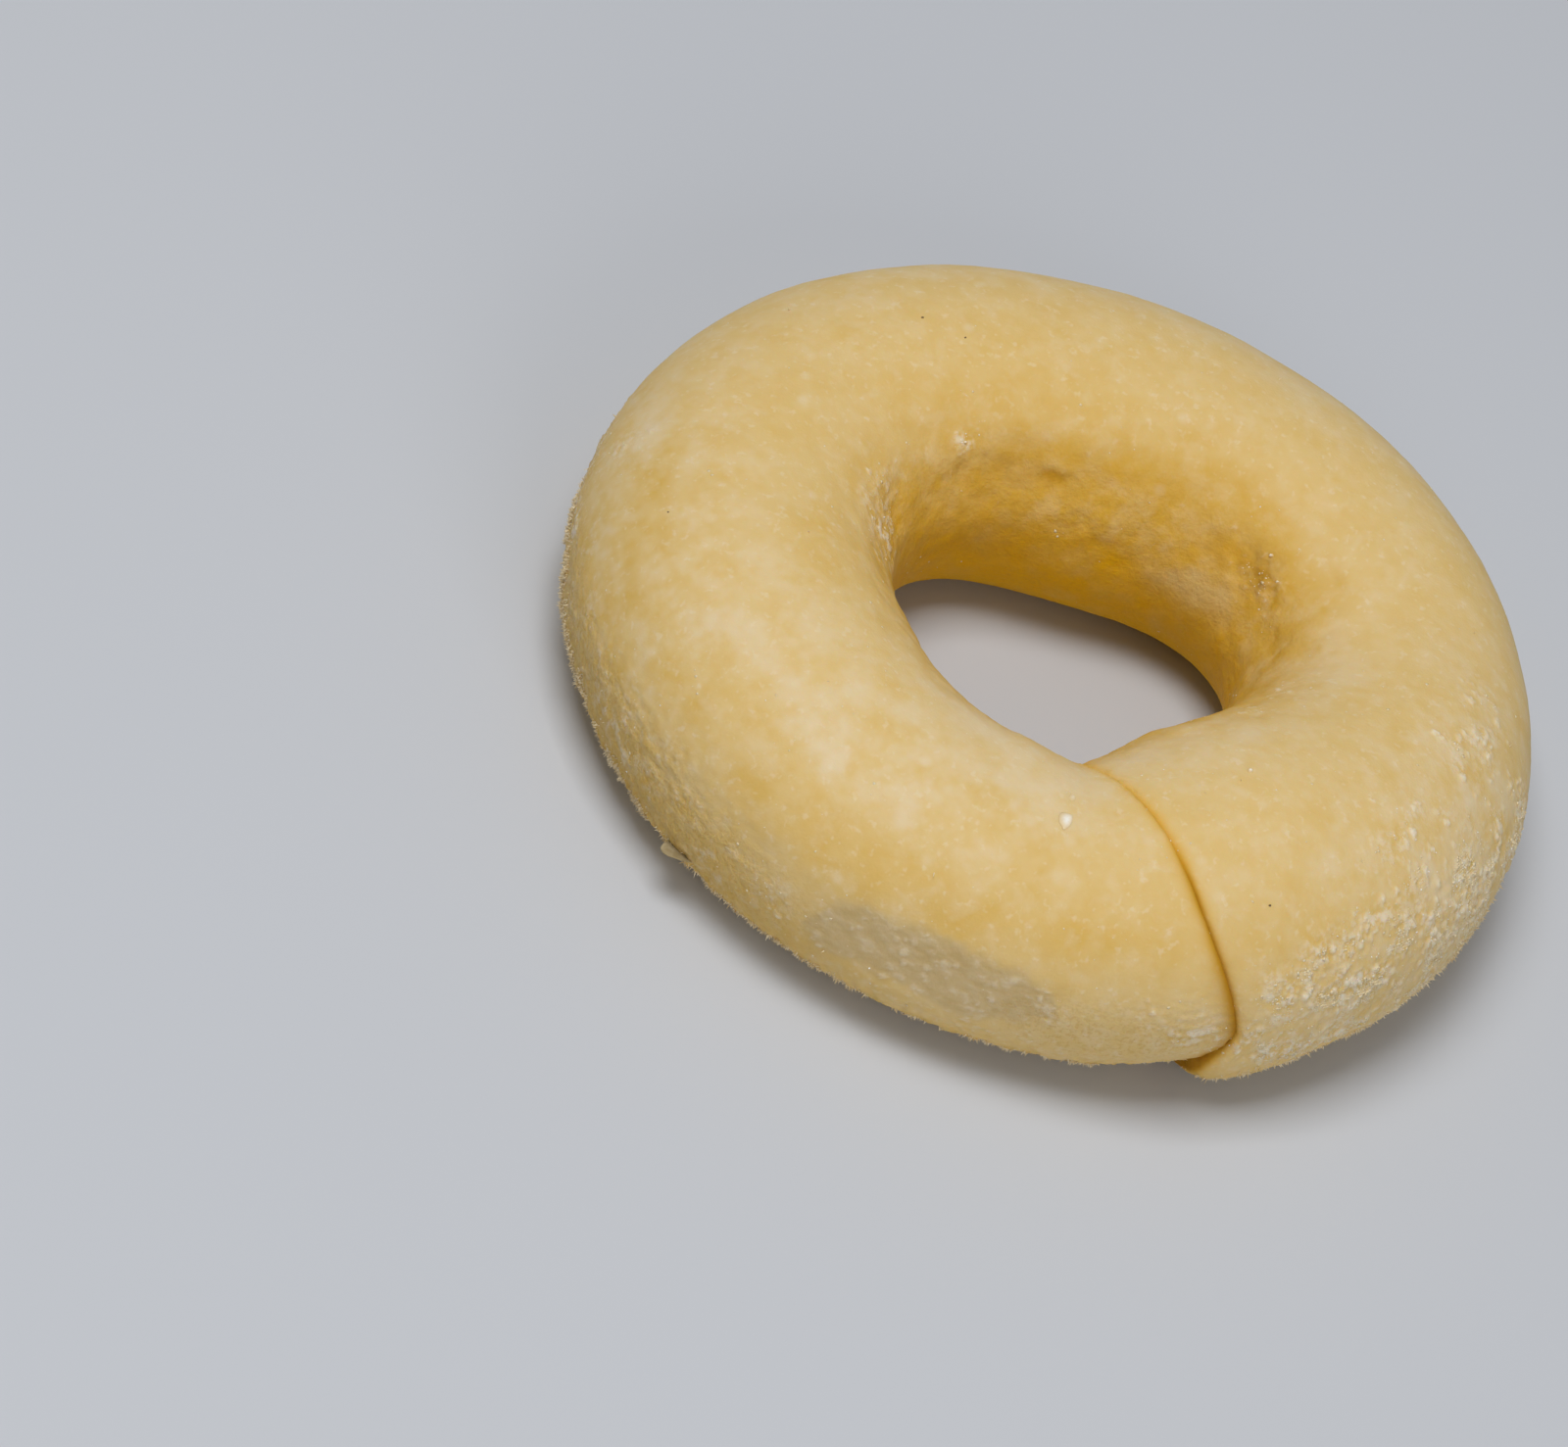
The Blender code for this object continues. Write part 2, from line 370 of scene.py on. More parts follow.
@dataclass(frozen=True)
class Lap:
    """The seam where the rope's upper end lies over its lower end.

    Its `gap` is the signed distance along the rope from the seam, negative on the upper end.
    """

    outer_angle: float = 306.0
    slant: float = 22.5
    hole_level: float = 133.0
    hole_rounding: float = 2.0
    bend: float = 1.25
    sway: float = 1.7
    sway_level: float = 80.0
    sway_height: float = 28.0
    tuck: float = 1.8
    tuck_level: float = 11.0
    depth: float = 0.0007
    roll: float = 0.0007
    roll_turn: float = 118.0
    fillet: float = 0.00065
    twist: float = 0.00011
    twist_width: float = 0.0007
    wrinkle: float = 0.00006
    wrinkle_turn: float = 4.2
    wrinkle_reach: float = 0.0040
    nose_swell: float = 0.0004
    nose_length: float = 0.0060
    foot_level: float = -34.0
    foot_height: float = 30.0
    nose_drawn_in: float = 0.0013
    nose_taper: float = 0.0080
    lip_proud: float = 0.0011
    lip_middle: float = 0.0045
    lip_length: float = 0.0075
    waver: Texture = Texture(0.00011, 20.0, 2, 7)

    def seam_angle(self, level: Array) -> Array:
        """Find where the seam crosses each level of the rope.

        Args:
            level: Angles round the rope.

        Returns:
            Angles round the ring.
        """
        tucked = self.outer_angle - self.tuck * (1.0 - bell(level / self.tuck_level))
        share = np.clip(level, 0.0, None) / self.hole_level
        top = self.outer_angle - self.slant * share ** self.bend
        sway = self.sway * bell((level - self.sway_level) / self.sway_height)
        top = top + sway * ramp(level, 0.0, 20.0) * (1.0 - ramp(level, 115.0, self.hole_level))
        past_hole = (level - self.hole_level) / (270.0 - self.hole_level)
        inner = self.outer_angle - self.slant + (self.slant - self.tuck) * past_hole
        rounded = self.hole_rounding * np.logaddexp(top / self.hole_rounding, inner / self.hole_rounding)
        return np.where(level < 0.0, tucked, rounded)

    def gap(self, around: Array, level: Array, from_axis: Array) -> Array:
        """Measure along the rope from the seam.

        Args:
            around: Angles round the ring.
            level: Angles round the rope.
            from_axis: Distances from the ring's axis.

        Returns:
            Signed distances, negative on the upper end.
        """
        waver = self.waver.read(np.stack([level % 360.0, 0.0 * level, 0.0 * level], axis=-1))
        return np.radians(wrapped(around - self.seam_angle(level))) * from_axis - waver

    def strength(self, level: Array) -> Array:
        """How deep the seam is at each level: it closes up towards the hole."""
        return 1.60 - 0.90 * ramp(level, 15.0, 75.0) - 0.32 * ramp(level, 82.0, 118.0)

    def seen(self, gap: Array, level: Array) -> Array:
        """Measure from the seam as it looks from outside, once the edge has rolled over.

        Args:
            gap: Distances from the seam before that.
            level: Angles round the rope.

        Returns:
            Signed distances.
        """
        turned = np.radians(np.minimum(self.roll_turn * np.clip(1.0 + gap / self.roll, 0.0, 1.0), 90.0))
        rolled = np.where(gap > -self.roll, self.roll * (np.sin(turned) - 1.0) - gap, 0.0)
        return np.where(gap < 0.0, np.minimum(gap + rolled * self.strength(level), 0.0), gap)

    def line(self, gap: Array, level: Array) -> Array:
        """Place the painted glow, a deep yellow on both sides of the seam.

        Args:
            gap: Distances from the seam.
            level: Angles round the rope.

        Returns:
            Shares of the yellow.
        """
        high = ramp(level, 45.0, 78.0)
        left = bell(self.seen(gap, level) / (0.00086 - 0.00010 * high), 1.5)
        right = bell(gap / (0.00056 + 0.00026 * high), 1.7)
        peak = 0.96 - 0.18 * ramp(level, 60.0, 80.0) - 0.12 * ramp(level, 90.0, 112.0)
        return peak * np.where(gap < 0.0, left, right)

    def seam_shade(self, gap: Array, level: Array) -> Array:
        """Place the painted shade in the seam, a dark brown that fades out towards the rope's top.

        Args:
            gap: Distances from the seam.
            level: Angles round the rope.

        Returns:
            Shares of the brown.
        """
        low = 1.0 - ramp(level, 18.0, 45.0)
        high = ramp(level, 58.0, 78.0)
        left = bell(self.seen(gap, level) / (0.00064 + 0.00046 * low), 1.4)
        right = bell(gap / 0.00038)
        share = (0.80 + 0.20 * low) * (1.0 - high) + 0.22 * high * (1.0 - ramp(level, 94.0, 110.0))
        return share * np.where(gap < 0.0, left, right)

    def ridges(self, gap: Array, level: Array) -> Array:
        """Raise twisted ridges beside the seam near the hole, and wrinkles on the upper end's nose.

        Args:
            gap: Distances from the seam.
            level: Angles round the rope.

        Returns:
            Heights.
        """
        twisted = ramp(level, 85.0, 100.0) * (1.0 - ramp(level, 125.0, 140.0))
        sway = level / 7.0 + 0.45 * np.sin(level / 1.9) + 0.30 * np.sin(gap / 0.0004 + level)
        twists = np.cos(2.0 * math.pi * (gap / self.twist_width + sway))
        twists = twists * (0.6 + 0.4 * np.sin(level / 1.3)) * bell(gap / (1.6 * self.twist_width))
        wrinkles = np.cos(2.0 * math.pi * (level / self.wrinkle_turn + 0.3 * np.sin(gap / 0.0011)))
        nose = bell((gap + self.wrinkle_reach) / self.wrinkle_reach, 3.0) * bell((level - 5.0) / 13.0)
        return self.twist * twisted * twists + self.wrinkle * wrinkles * nose

    def relief(self, gap: Array, level: Array) -> tuple[Array, Array]:
        """Shape the skin near the seam.

        The upper end's edge rolls over and back under itself, and the lower end runs up softly
        out of the groove.

        Args:
            gap: Distances from the seam.
            level: Angles round the rope.

        Returns:
            How far each point moves along the rope, and how far it moves outwards.
        """
        strength = self.strength(level)
        foot = bell(wrapped(level - self.foot_level) / self.foot_height)
        full_turn = math.radians(self.roll_turn)
        turned = full_turn * np.clip(1.0 + gap / self.roll, 0.0, 1.0)
        on_roll = (gap < 0.0) & (gap > -self.roll)
        upper_along = np.where(on_roll, (self.roll * (np.sin(turned) - 1.0) - gap) * strength, 0.0)
        upper = -self.depth * strength * (1.0 - np.cos(turned)) / (1.0 - math.cos(full_turn))
        upper += self.nose_swell * bell((gap + self.nose_length) / self.nose_length) * (1.0 - foot)
        upper -= self.nose_drawn_in * foot * bell(gap / self.nose_taper)
        soft = np.exp(-np.clip(gap, 0.0, None) / self.fillet) * strength
        lower_along = self.roll * (math.sin(full_turn) - 1.0) * soft
        lower = self.lip_proud * foot * bell((gap - self.lip_middle) / self.lip_length) - self.depth * soft
        on_top = gap < 0.0
        return (np.where(on_top, upper_along, lower_along),
                np.where(on_top, upper, lower) + self.ridges(gap, level))


@dataclass(frozen=True)
class Rope:
    """The thick rope of dough, bent round to a ring, without its fine relief."""

    ring_radius: float = 0.0344
    half_width: float = 0.0173
    crown_rise: float = 0.0154
    widest_level: float = 0.0119
    underside_squareness: float = 2.6
    settling: float = 0.0004
    radius_waves: tuple[Wave, ...] = (
        Wave(2, 0.00140, 8.0), Wave(3, 0.00076, 38.0), Wave(4, 0.00018, -41.0))
    width_waves: tuple[Wave, ...] = (
        Wave(1, 0.00018, 112.0), Wave(2, 0.00062, -50.0), Wave(3, 0.00060, -34.0),
        Wave(4, 0.00016, -43.0))
    pinch_angle: float = 283.7
    pinch_spread: float = 14.0
    pinch_depth: float = 0.0026
    pinch_sharpness: float = 1.3
    patch_angle: float = 268.5
    patch_half_length: float = 19.0
    patch_level: float = 7.0
    patch_depth: float = 0.0005
    patch_rounding: float = 0.00022

    def radius_at(self, around: Array) -> Array:
        """Distance of the rope's middle from the ring's axis."""
        return self.ring_radius + sum(wave.read(around) for wave in self.radius_waves)

    def width_at(self, around: Array) -> Array:
        """Half the rope's width."""
        return self.half_width + sum(wave.read(around) for wave in self.width_waves)

    def section(self, around: Array, across: Array) -> tuple[Array, Array]:
        """Point of the rope's section, measured from the section's middle.

        Args:
            around: Angles round the ring.
            across: Angles round the rope.

        Returns:
            Distance outwards and distance up.
        """
        half_width = self.width_at(around)
        swell = half_width / self.half_width
        level = np.radians(across)
        cosine, sine = np.cos(level), np.sin(level)
        reach = wrapped(around - self.pinch_angle) / self.pinch_spread
        pinch = self.pinch_depth * bell(reach, self.pinch_sharpness) * (0.5 - 0.5 * cosine)
        power = 2.0 / self.underside_squareness
        square_out = np.sign(cosine) * np.abs(cosine) ** power
        out = (half_width - pinch) * np.where(sine >= 0.0, cosine, square_out)
        top = (self.crown_rise * swell - pinch) * sine
        bottom = -(self.widest_level * swell + self.settling) * np.abs(sine) ** power
        return out, np.where(sine >= 0.0, top, bottom)

    def pressed(self, out: Array, up: Array, around: Array) -> tuple[Array, Array]:
        """Press the outer side flat where the patch is.

        Args:
            out: Distances outwards from the section's middle.
            up: Distances up from it.
            around: Angles round the ring.

        Returns:
            The same two distances after pressing.
        """
        along = wrapped(around - self.patch_angle) / self.patch_half_length
        window = np.clip(1.0 - along ** 2, 0.0, 1.0)
        facing = math.radians(self.patch_level)
        reach = out * math.cos(facing) + up * math.sin(facing)
        over = (reach - self.width_at(around) + self.patch_depth * window) / self.patch_rounding
        soft = self.patch_rounding * np.log1p(np.exp(np.clip(over, -30.0, 30.0)))
        excess = soft * ramp(window, 0.0, 0.35)
        return out - excess * math.cos(facing), up - excess * math.sin(facing)

    def place(self, around: Array, out: Array, up: Array) -> Array:
        """Turn section distances into points in space.

        Args:
            around: Angles round the ring.
            out: Distances outwards from the section's middle.
            up: Distances up from it.

        Returns:
            Points, none of them below the table.
        """
        turn = np.radians(around)
        from_axis = self.radius_at(around) + out
        high = np.maximum(self.widest_level * self.width_at(around) / self.half_width + up, 0.0)
        return np.stack([from_axis * np.cos(turn), from_axis * np.sin(turn), high], axis=-1)


@dataclass(frozen=True)
class Patch:
    """The greyish pressed patch low on the outer side, between an upper and a lower outline.

    Each outline is a row of places, as angles round the ring and round the rope.
    """

    upper: tuple[tuple[float, float], ...] = (
        (252.8, -3.0), (255.5, 13.0), (259.0, 20.0), (264.3, 20.8), (269.0, 23.5),
        (273.7, 21.2), (278.7, 19.0), (283.2, 12.5), (285.0, 2.0))
    lower: tuple[tuple[float, float], ...] = (
        (252.8, -3.0), (255.5, -8.5), (261.5, -5.0), (267.7, -4.5), (274.0, -9.0),
        (280.9, -4.0), (285.0, 2.0))
    edge: float = 3.6
    ragged: Texture = Texture(3.4, 0.0026, 3, 95)
    streak_length: float = 0.0012
    streak_width: float = 0.0005
    streak_lean: float = 9.0
    streak_height: float = 0.00006
    dot_size: float = 0.0008
    dot_share: float = 0.20

    def read(self, around: Array, across: Array, points: Array) -> Array:
        """Place the patch, with a ragged edge.

        Args:
            around: Angles round the ring.
            across: Angles round the rope.
            points: The same places as points.

        Returns:
            Shares from 0 to 1.
        """
        over = wrapped(across) + self.ragged.read(points)
        top = np.interp(around % 360.0, *zip(*self.upper), left=-90.0, right=-90.0)
        bottom = np.interp(around % 360.0, *zip(*self.lower), left=90.0, right=90.0)
        return ramp(np.minimum(top - over, over - bottom), -self.edge, self.edge)

    def streaks(self, points: Array) -> Array:
        """Raise fine ridges that run along the rope.

        Args:
            points: Places to read.

        Returns:
            Heights from about -1 to 1.
        """
        drop = points[..., 2] + points[..., 0] * math.tan(math.radians(self.streak_lean))
        flat = points[..., :2] / self.streak_length
        stretched = np.concatenate([flat, drop[..., None] / self.streak_width], axis=-1)
        return Texture(1.0, 1.0, 3, 97).read(stretched)


@dataclass
class DoughSkin:
    """The ring's visible skin, much finer than the solid it stands for."""

    rope: Rope = field(default_factory=Rope)
    lap: Lap = field(default_factory=Lap)
    patch: Patch = field(default_factory=Patch)
    ring_steps: int = 1080
    rope_steps: int = 360
    seam_crowding: float = 1.4
    shear_reach: float = 55.0
    drift: Texture = Texture(4.0, 0.0036, 3, 71)
    slip: Texture = Texture(4.0, 0.0036, 3, 81)
    lumps: Texture = Texture(0.00022, 0.0130, 2, 1)
    dimples: Texture = Texture(0.00005, 0.0030, 2, 11)
    grain: Texture = Texture(0.00002, 0.0007, 2, 21)
    wall_lumps: Texture = Texture(0.00032, 0.0036, 3, 51)
    coarse: Texture = Texture(0.00026, 0.0008, 2, 91)
    frost_rags: Texture = Texture(0.75, 0.0050, 2, 40)
    frost_nicks: Texture = Texture(0.45, 0.0018, 2, 44)
    frost_clouds: Texture = Texture(1.0, 0.0032, 3, 46)
    curds: Texture = Texture(1.0, 0.0014, 2, 33)
    bare_rags: Texture = Texture(10.0, 0.0050, 3, 60)
    bare_film: Texture = Texture(1.0, 0.0018, 3, 64)
    warm_shade_rags: Texture = Texture(12.0, 0.0042, 3, 62)
    warm_shade_patches: Texture = Texture(0.55, 0.0024, 3, 63)
    film_patches: Texture = Texture(0.5, 0.0060, 2, 66)
    mottles: Texture = Texture(0.85, 0.0030, 3, 67)
    fine_mottles: Texture = Texture(0.45, 0.0011, 2, 68)
    painted_shade_patches: Texture = Texture(0.8, 0.0015, 3, 73)
    crumb_height: float = 0.00022
    crumb_size: float = 0.00092
    fine_crumb_height: float = 0.00011
    fine_crumb_size: float = 0.00056
    points: Array = field(init=False)
    normals: Array = field(init=False)
    around: Array = field(init=False)
    across: Array = field(init=False)
    level: Array = field(init=False)
    gap: Array = field(init=False)
    frosted: Array = field(init=False)
    clumped: Array = field(init=False)
    lace: Array = field(init=False)
    pressed: Array = field(init=False)
    ring_middle: Array = field(init=False)

    def share(self, marks: tuple[Mark, ...]) -> Array:
        """The strongest of several marks at each point of the grid."""
        return np.max([mark.read(self.around, self.across) for mark in marks], axis=0)

    def near(self, around: float, reach: float, sharpness: float) -> Array:
        """A hump round one angle of the ring."""
        return bell(wrapped(self.around - around) / reach, sharpness)

    def lay_out(self) -> None:
        """Choose the skin's grid lines: crowded at the seam, and slanted along it."""
        share = np.arange(self.ring_steps) / self.ring_steps * 2.0 - 1.0
        from_seam = 180.0 * np.sign(share) * np.abs(share) ** self.seam_crowding
        across = np.arange(self.rope_steps) / self.rope_steps * 360.0
        level = (across + 90.0) % 360.0 - 90.0
        middle = float(self.lap.seam_angle(np.array(90.0)))
        shear = (self.lap.seam_angle(level) - middle)[None, :]
        self.around = middle + from_seam[:, None] + shear * bell(from_seam / self.shear_reach)[:, None]
        self.across = np.broadcast_to(across[None, :], self.around.shape)
        self.level = np.broadcast_to(level[None, :], self.around.shape)

    def formed(self) -> Array:
        """The skin with its lap, hollows and pressed patch, still without its fine relief.

        Returns:
            Points on the grid, centred like the solid.
        """
        out, up = self.rope.section(self.around, self.across)
        from_axis = self.rope.radius_at(self.around) + out
        self.gap = self.lap.gap(self.around, self.level, from_axis)
        along, height = self.lap.relief(self.gap, self.level)
        around = self.around + np.degrees(along / from_axis)
        base = self.rope.place(self.around, out, up)
        drift, slip = self.drift.read(base), self.slip.read(base)
        for mark in HOLLOWS + PRESSES + FOLDS:
            height = height - mark.read(self.around + drift, self.across + slip)
        reach = np.hypot(out, up)
        out, up = out * (1.0 + height / reach), up * (1.0 + height / reach)
        out, up = self.rope.pressed(out, up, around)
        points = self.rope.place(around, out, up)
        flat = points.reshape(-1, 3)
        self.ring_middle = -0.5 * (flat.min(0) + flat.max(0)) * np.array([1.0, 1.0, 0.0])
        return points + self.ring_middle

    def read_normals(self, points: Array) -> Array:
        """Find the outward normals of a grid.

        Args:
            points: Points, with the ring's steps first and the rope's steps second.

        Returns:
            One normal for each point.
        """
        round_ring = np.roll(points, -1, 0) - np.roll(points, 1, 0)
        round_rope = np.roll(points, -1, 1) - np.roll(points, 1, 1)
        normals = np.cross(round_ring, round_rope)
        return normals / np.maximum(np.linalg.norm(normals, axis=-1, keepdims=True), 1e-12)

    def read_frost(self, points: Array) -> None:
        """Work out where frost lies, with ragged edges, and the crumbs that it clumps to.

        Args:
            points: The formed skin.
        """
        thick = self.share(FROST)
        ragged = self.frost_rags.read(points) + self.frost_nicks.read(points)
        clouds = 0.16 + 0.84 * ramp(self.frost_clouds.read(points), -0.28, 0.12)
        self.frosted = ramp(thick + 0.75 * thick ** 0.5 * ragged, 0.05, 0.95) * clouds
        self.pressed = self.patch.read(self.around, self.across, points)
        self.clumped = self.frosted * (1.0 - self.share(FUZZY))
        crumbs = crumb_field(points, self.crumb_size, 0.60 * self.clumped, 31)
        curds = self.clumped * ramp(self.curds.read(points), 0.12, 0.50)
        fine = crumb_field(points, self.fine_crumb_size, 0.85 * self.clumped + 0.006, 61)
        dots = crumb_field(points, self.patch.dot_size, self.patch.dot_share * self.pressed, 63)
        self.lace = np.maximum(np.maximum(crumbs, 0.35 * curds), 0.5 * dots)
        self.lace = self.lace + self.fine_crumb_height / self.crumb_height * fine

    def roughened(self, points: Array) -> Array:
        """Add lumps, dimples, grain and frost to the formed skin.

        Args:
            points: The formed skin.

        Returns:
            The finished skin's points.
        """
        height = sum(relief.read(points) for relief in (self.lumps, self.dimples, self.grain))
        wall = bell(wrapped(self.across - 155.0) / 35.0, 4.0)
        height += wall * self.wall_lumps.read(points) + self.crumb_height * self.lace
        height += self.patch.streak_height * self.pressed * self.patch.streaks(points)
        height += self.share(CRUMBLY) * self.coarse.read(points)
        lifted = ramp(points[..., 2], 0.0002, 0.0020)
        done = points + self.read_normals(points) * (height * lifted)[..., None]
        done[..., 2] = np.maximum(done[..., 2], 0.0)
        return done

    def read_bare(self, points: Array) -> Array:
        """Find the skin without its pale film: the hole's wall and low on the outer side.

        Args:
            points: The formed skin.

        Returns:
            Shares from 0 to 1.
        """
        ragged = self.bare_rags.read(points)
        wall = 0.85 * ramp(self.level - 8.0 * self.near(265.0, 60.0, 3.0) + ragged, 108.0, 156.0)
        film = ramp(self.bare_film.read(points), -0.05, 0.40)
        wall = wall * (1.0 - 0.30 * film * (1.0 - ramp(self.level, 140.0, 165.0)))
        return np.maximum(wall, 0.40 * ramp(0.5 * ragged - self.level, 8.0, 40.0))

    def read_warm_shade(self, points: Array) -> Array:
        """Find the painted warm shade: deepest yellow, low in the hole and in the hollows of its wall.

        Args:
            points: The formed skin.

        Returns:
            Shares from 0 to 1.
        """
        low = self.near(90.0, 110.0, 4.0) * (0.82 + 0.18 * self.near(145.0, 40.0, 3.0))
        low = low * ramp(self.level + self.warm_shade_rags.read(points), 158.0, 180.0)
        low = low * (1.0 - PALE_FOOT.read(self.around, self.across))
        patchy = 1.0 + self.warm_shade_patches.read(points)
        return np.clip(np.maximum(low, self.share(WARM_SHADE)) * patchy, 0.0, 1.0)

    def read_grit_and_pit_shade(self) -> Array:
        """Find fine roughness and painted pit shade: most on the hole's wall and low on the outer side.

        Returns:
            Shares from 0 up.
        """
        wall = 0.50 * self.near(95.0, 110.0, 4.0) * ramp(self.level, 122.0, 146.0)
        low = 1.15 * self.share(FUZZY) * ramp(-self.level, -24.0, 4.0)
        foot = 0.25 * ramp(-self.level, 10.0, 30.0)
        return np.maximum(np.maximum(wall, low), np.maximum(foot, 0.22 * self.pressed))

    def read_film_and_painted_light(self, points: Array) -> Array:
        """Find how thick the pale film is, with soft mottles and some painted light and shade.

        Args:
            points: The formed skin.

        Returns:
            Its thickness against the usual, from -1 to 1.
        """
        film = sum(mark.read(self.around, self.across) for mark in FILM_AND_PAINTED_LIGHT)
        film = film * (1.0 + self.film_patches.read(points))
        contrast = 0.52 + 0.70 * self.share(MOTTLED)
        mottles = self.mottles.read(points) + self.fine_mottles.read(points)
        return np.clip(film + contrast * mottles, -1.0, 1.0)

    def spot(self, around: float, across: float) -> tuple[Vector, Vector, Vector]:
        """Find one point of the skin.

        Args:
            around: Angle round the ring.
            across: Angle round the rope.

        Returns:
            Its place, the outward direction and the direction round the ring.
        """
        off = np.hypot(wrapped(self.around - around), wrapped(self.across - across))
        row, column = np.unravel_index(int(off.argmin()), off.shape)
        out = Vector(self.normals[row, column])
        ahead = Vector(self.points[(row + 1) % self.ring_steps, column] - self.points[row, column])
        return Vector(self.points[row, column]), out, (ahead - out * ahead.dot(out)).normalized()

    def build(self) -> Piece:
        """Make the skin's mesh and store what its material reads.

        Returns:
            The finished piece.
        """
        self.lay_out()
        formed = self.formed()
        self.read_frost(formed)
        self.points = self.roughened(formed)
        self.normals = self.read_normals(self.points)
        index = np.arange(self.around.size).reshape(self.around.shape)
        ahead, over = np.roll(index, -1, 0), np.roll(index, -1, 1)
        faces = np.stack([index, ahead, np.roll(ahead, -1, 1), over], axis=-1).reshape(-1, 4)
        piece = mesh_object("dough_skin", self.points, faces)
        film = self.read_film_and_painted_light(formed)
        shares = {
            "frosted": self.frosted,
            "lace": np.clip(self.lace, 0.0, 1.0),
            "bare": self.read_bare(formed),
            # Thicker film, and painted light low on the hole's wall.
            "thick_film_and_light": np.clip(film, 0.0, 1.0),
            # Thinner film, and painted shade on the outer side.
            "thin_film_and_shade": np.clip(-film, 0.0, 1.0),
            # Painted glow along the seam and painted warm shade in the hole.
            "deep": np.maximum(self.lap.line(self.gap, self.level), self.read_warm_shade(formed)),
            # Painted shade in the seam.
            "seam_shade": self.lap.seam_shade(self.gap, self.level),
            # Fine roughness, with painted shade in its pits.
            "grit_and_pit_shade": self.read_grit_and_pit_shade(),
            "pressed": self.pressed,
            "streaks": 0.5 + 0.5 * self.patch.streaks(formed),
            "stained": self.share(STAINS),
            # Painted shade, in patches.
            "painted_shade": np.clip(self.share(PAINTED_SHADE) * (1.0 + self.painted_shade_patches.read(formed)), 0.0, 1.0),
        }
        for name, values in shares.items():
            attribute = piece.data.attributes.new(name, "FLOAT", "POINT")
            attribute.data.foreach_set("value", values.astype(np.float32).ravel())
        piece.data.shade_smooth()
        return piece


def add_object(name: str, data: bpy.types.ID) -> Piece:
    """Put a new object in the scene.

    Args:
        name: Its name.
        data: Its mesh, light or camera.

    Returns:
        The object.
    """
    piece = bpy.data.objects.new(name, data)
    bpy.context.scene.collection.objects.link(piece)
    return piece


def smooth_object(name: str, shape: bmesh.types.BMesh) -> Piece:
    """Turn a finished bmesh into a smooth object in the scene, and free it.

    Args:
        name: Name of the piece.
        shape: Its shape.

    Returns:
        The object.
    """
    mesh = bpy.data.meshes.new(name)
    shape.to_mesh(mesh)
    shape.free()
    mesh.shade_smooth()
    return add_object(name, mesh)


def mesh_object(name: str, points: Array, faces: Array) -> Piece:
    """Make a flat-shaded object in the scene.

    Args:
        name: Its name.
        points: Its points.
        faces: The numbers of each face's points.

    Returns:
        The object.
    """
    mesh = bpy.data.meshes.new(name)
    mesh.from_pydata(points.reshape(-1, 3).tolist(), [], faces.tolist())
    mesh.update()
    return add_object(name, mesh)


